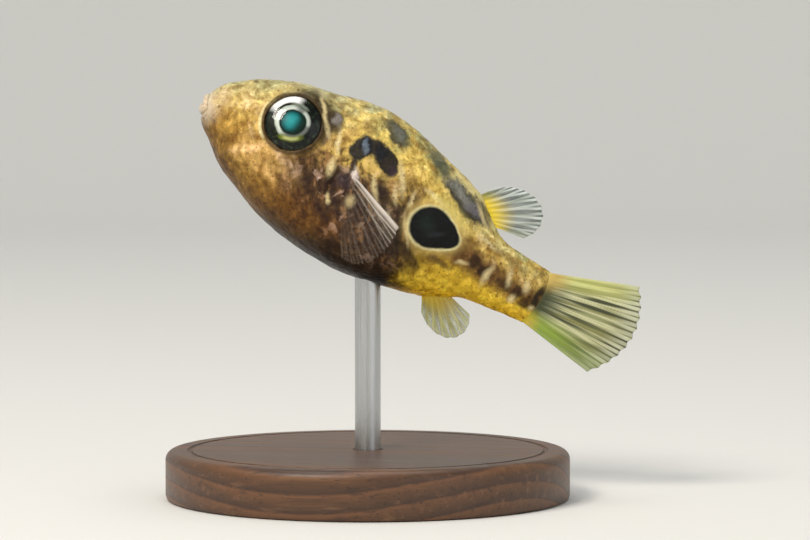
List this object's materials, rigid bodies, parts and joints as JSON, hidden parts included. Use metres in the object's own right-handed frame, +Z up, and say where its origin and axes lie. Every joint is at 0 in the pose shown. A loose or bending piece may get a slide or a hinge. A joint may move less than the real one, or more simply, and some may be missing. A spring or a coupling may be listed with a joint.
{
  "type": "freshwater pufferfish",
  "caption": "Life-size model of a dwarf freshwater pufferfish swimming nose-up, with fans for fins, held by one rod on a round base.",
  "frame": {"origin": "centre of the stand's underside, on the floor", "axes": "+Z up; the nose points to -X and 30 degrees up, and the left flank faces -Y"},
  "size_m": [0.0296, 0.025, 0.0259],
  "materials": {
    "skin": "wet golden skin with near-black and slate blotches, paler on the lips",
    "eyes": "polished cornea over a dark iris",
    "fins": "clear web between pale rays",
    "base": "dark satin wood",
    "rod": "brushed"
  },
  "bodies": {
    "root": {"head": "skin", "trunk": "skin", "tail_stalk": "skin", "lip_upper": "skin", "lip_lower": "skin", "eye_left": "eyes", "eye_right": "eyes", "fin_dorsal": "fins", "fin_anal": "fins", "fin_caudal": "fins", "fin_pectoral_left": "fins", "fin_pectoral_right": "fins", "stand_base": "base", "stand_rod": "rod"}
  },
  "joints": []
}
